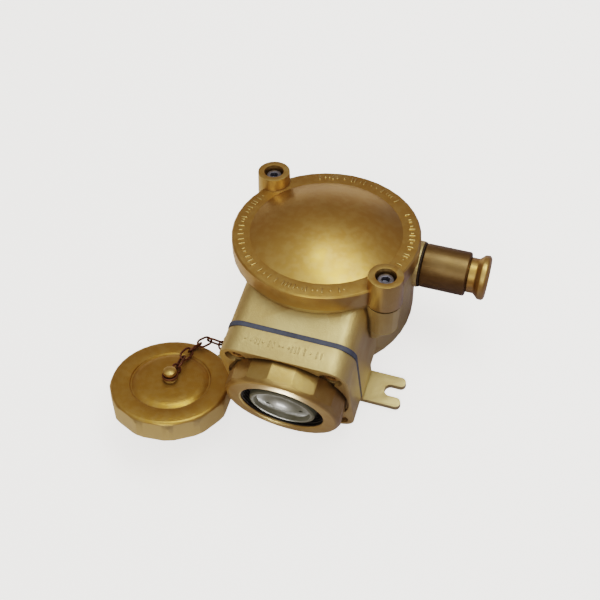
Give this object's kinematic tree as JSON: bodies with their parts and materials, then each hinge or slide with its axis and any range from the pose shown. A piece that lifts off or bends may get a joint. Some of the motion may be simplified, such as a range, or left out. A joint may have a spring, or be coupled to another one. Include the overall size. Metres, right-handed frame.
{
  "type": "watertight socket outlet with round terminal box",
  "caption": "Cast brass watertight socket outlet: round domed terminal box, square neck with coupling ring, cable gland, slotted feet and a screw cap on a chain.",
  "frame": {"origin": "centre of the round base, on the mounting plane, under the lid's centre", "axes": "+Z is the mounting plane's normal, -Y the direction the socket faces, +X the side of the cable gland"},
  "size_m": [0.2233, 0.2233, 0.1075],
  "materials": {
    "cast_brass": "sand-cast brass, fine grain, satin",
    "lid_brass": "cast brass, warm, polished on the dome",
    "cap_brass": "cast brass, darkened by handling",
    "ring_brass": "machined brass with worn corners",
    "gland_brass": "dark tarnished brass",
    "turned_brass": "turned brass",
    "fastener_steel": "plated steel",
    "gasket_rubber": "grey-blue moulded rubber",
    "black_rubber": "black rubber",
    "grey_moulding": "glossy grey moulding",
    "contact_plating": "nickel plate",
    "terminal_plastic": "cream moulding",
    "insulation_brown": "wire insulation",
    "insulation_green": "wire insulation",
    "insulation_blue": "wire insulation",
    "chain_metal": "dark oxidised bronze"
  },
  "bodies": {
    "housing": {"block_screw_1": "fastener_steel", "block_screw_2": "fastener_steel", "box_body": "cast_brass", "chain_eye": "chain_metal", "contact_tube_earth": "contact_plating", "contact_tube_line": "contact_plating", "contact_tube_neutral": "contact_plating", "coupling_snap_ring": "fastener_steel", "earth_screw": "turned_brass", "flange_screw_1": "turned_brass", "flange_screw_2": "turned_brass", "flange_screw_3": "turned_brass", "flange_screw_4": "turned_brass", "gland_body": "gland_brass", "gland_seal": "black_rubber", "gland_thrust_washer": "turned_brass", "gland_washer": "black_rubber", "insulator": "grey_moulding", "insulator_retaining_ring": "turned_brass", "lid_gasket": "gasket_rubber", "neck_gasket": "gasket_rubber", "retaining_screw_1": "fastener_steel", "retaining_screw_2": "fastener_steel", "retaining_screw_3": "fastener_steel", "socket_flange": "cast_brass", "terminal_block": "terminal_plastic", "terminal_screw_1": "fastener_steel", "terminal_screw_2": "fastener_steel", "terminal_screw_3": "fastener_steel", "terminal_sleeve_1": "turned_brass", "terminal_sleeve_2": "turned_brass", "terminal_sleeve_3": "turned_brass", "wire_earth": "insulation_green", "wire_line": "insulation_brown", "wire_neutral": "insulation_blue"},
    "lid": {"lid": "lid_brass"},
    "lid_screw_front": {"lid_screw_1": "fastener_steel"},
    "lid_screw_back": {"lid_screw_2": "fastener_steel"},
    "coupling_ring": {"coupling_ring": "ring_brass"},
    "gland_nut": {"gland_nut": "turned_brass"},
    "chain_link_1": {"chain_link_1": "chain_metal"},
    "chain_link_2": {"chain_link_2": "chain_metal"},
    "chain_link_3": {"chain_link_3": "chain_metal"},
    "chain_link_4": {"chain_link_4": "chain_metal"},
    "chain_link_5": {"chain_link_5": "chain_metal"},
    "chain_link_6": {"chain_link_6": "chain_metal"},
    "chain_link_7": {"chain_link_7": "chain_metal"},
    "cap_swivel": {"cap_swivel": "chain_metal"},
    "cap": {"screw_cap": "cap_brass", "cap_gasket": "gasket_rubber"}
  },
  "joints": [
    {"name": "lid_lift", "type": "slide", "parent": "housing", "child": "lid", "axis": [0, 0.2924, 0.9563], "range_m": [0, 0.045]},
    {"name": "lid_screw_front_turn", "type": "hinge", "parent": "lid", "child": "lid_screw_front", "pos_m": [0.0484, -0.03551, 0.09626], "axis": [0, 0.2924, 0.9563], "continuous": true},
    {"name": "lid_screw_back_turn", "type": "hinge", "parent": "lid", "child": "lid_screw_back", "pos_m": [-0.0484, 0.03551, 0.07454], "axis": [0, 0.2924, 0.9563], "continuous": true},
    {"name": "coupling_ring_turn", "type": "hinge", "parent": "housing", "child": "coupling_ring", "pos_m": [0, -0.1, 0.044], "axis": [0, -1, 0], "continuous": true},
    {"name": "gland_nut_turn", "type": "hinge", "parent": "housing", "child": "gland_nut", "pos_m": [0.095, 0.0091, 0.053], "axis": [1, 0, 0], "continuous": true},
    {"name": "chain_link_1_swing", "type": "hinge", "parent": "housing", "child": "chain_link_1", "pos_m": [-0.0482, -0.0688, 0.0121], "axis": [0.3865, 0.7366, -0.555], "range_deg": [-6, 35]},
    {"name": "chain_link_2_swing", "type": "hinge", "parent": "chain_link_1", "child": "chain_link_2", "pos_m": [-0.0564, -0.06629, 0.00972], "axis": [0.2552, -0.0782, -0.9637], "range_deg": [-1, 38]},
    {"name": "chain_link_3_swing", "type": "hinge", "parent": "chain_link_2", "child": "chain_link_3", "pos_m": [-0.06412, -0.0619, 0.01029], "axis": [-0.4973, -0.8578, -0.1303], "range_deg": [-2, 40]},
    {"name": "chain_link_4_swing", "type": "hinge", "parent": "chain_link_3", "child": "chain_link_4", "pos_m": [-0.07145, -0.06292, 0.01524], "axis": [0.5528, 0.0585, 0.8312], "range_deg": [-60, 1]},
    {"name": "chain_link_5_swing", "type": "hinge", "parent": "chain_link_4", "child": "chain_link_5", "pos_m": [-0.07503, -0.06984, 0.01955], "axis": [0.8248, -0.5371, -0.1764], "range_deg": [-3, 14]},
    {"name": "chain_link_6_swing", "type": "hinge", "parent": "chain_link_5", "child": "chain_link_6", "pos_m": [-0.07841, -0.0772, 0.02325], "axis": [-0.4767, -0.21, -0.8536], "range_deg": [-1, 55]},
    {"name": "chain_link_7_swing", "type": "hinge", "parent": "chain_link_6", "child": "chain_link_7", "pos_m": [-0.07991, -0.08503, 0.02721], "axis": [0.777, -0.396, -0.4893], "range_deg": [-7, 1]},
    {"name": "cap_swivel_swing", "type": "hinge", "parent": "chain_link_7", "child": "cap_swivel", "pos_m": [-0.079, -0.09305, 0.03099], "axis": [0.7019, 0.3669, 0.6105], "range_deg": [-30, 0]},
    {"name": "cap_turn", "type": "hinge", "parent": "cap_swivel", "child": "cap", "pos_m": [-0.0805, -0.1037, 0.0308], "axis": [0, 0.4067, 0.9135], "continuous": true}
  ]
}
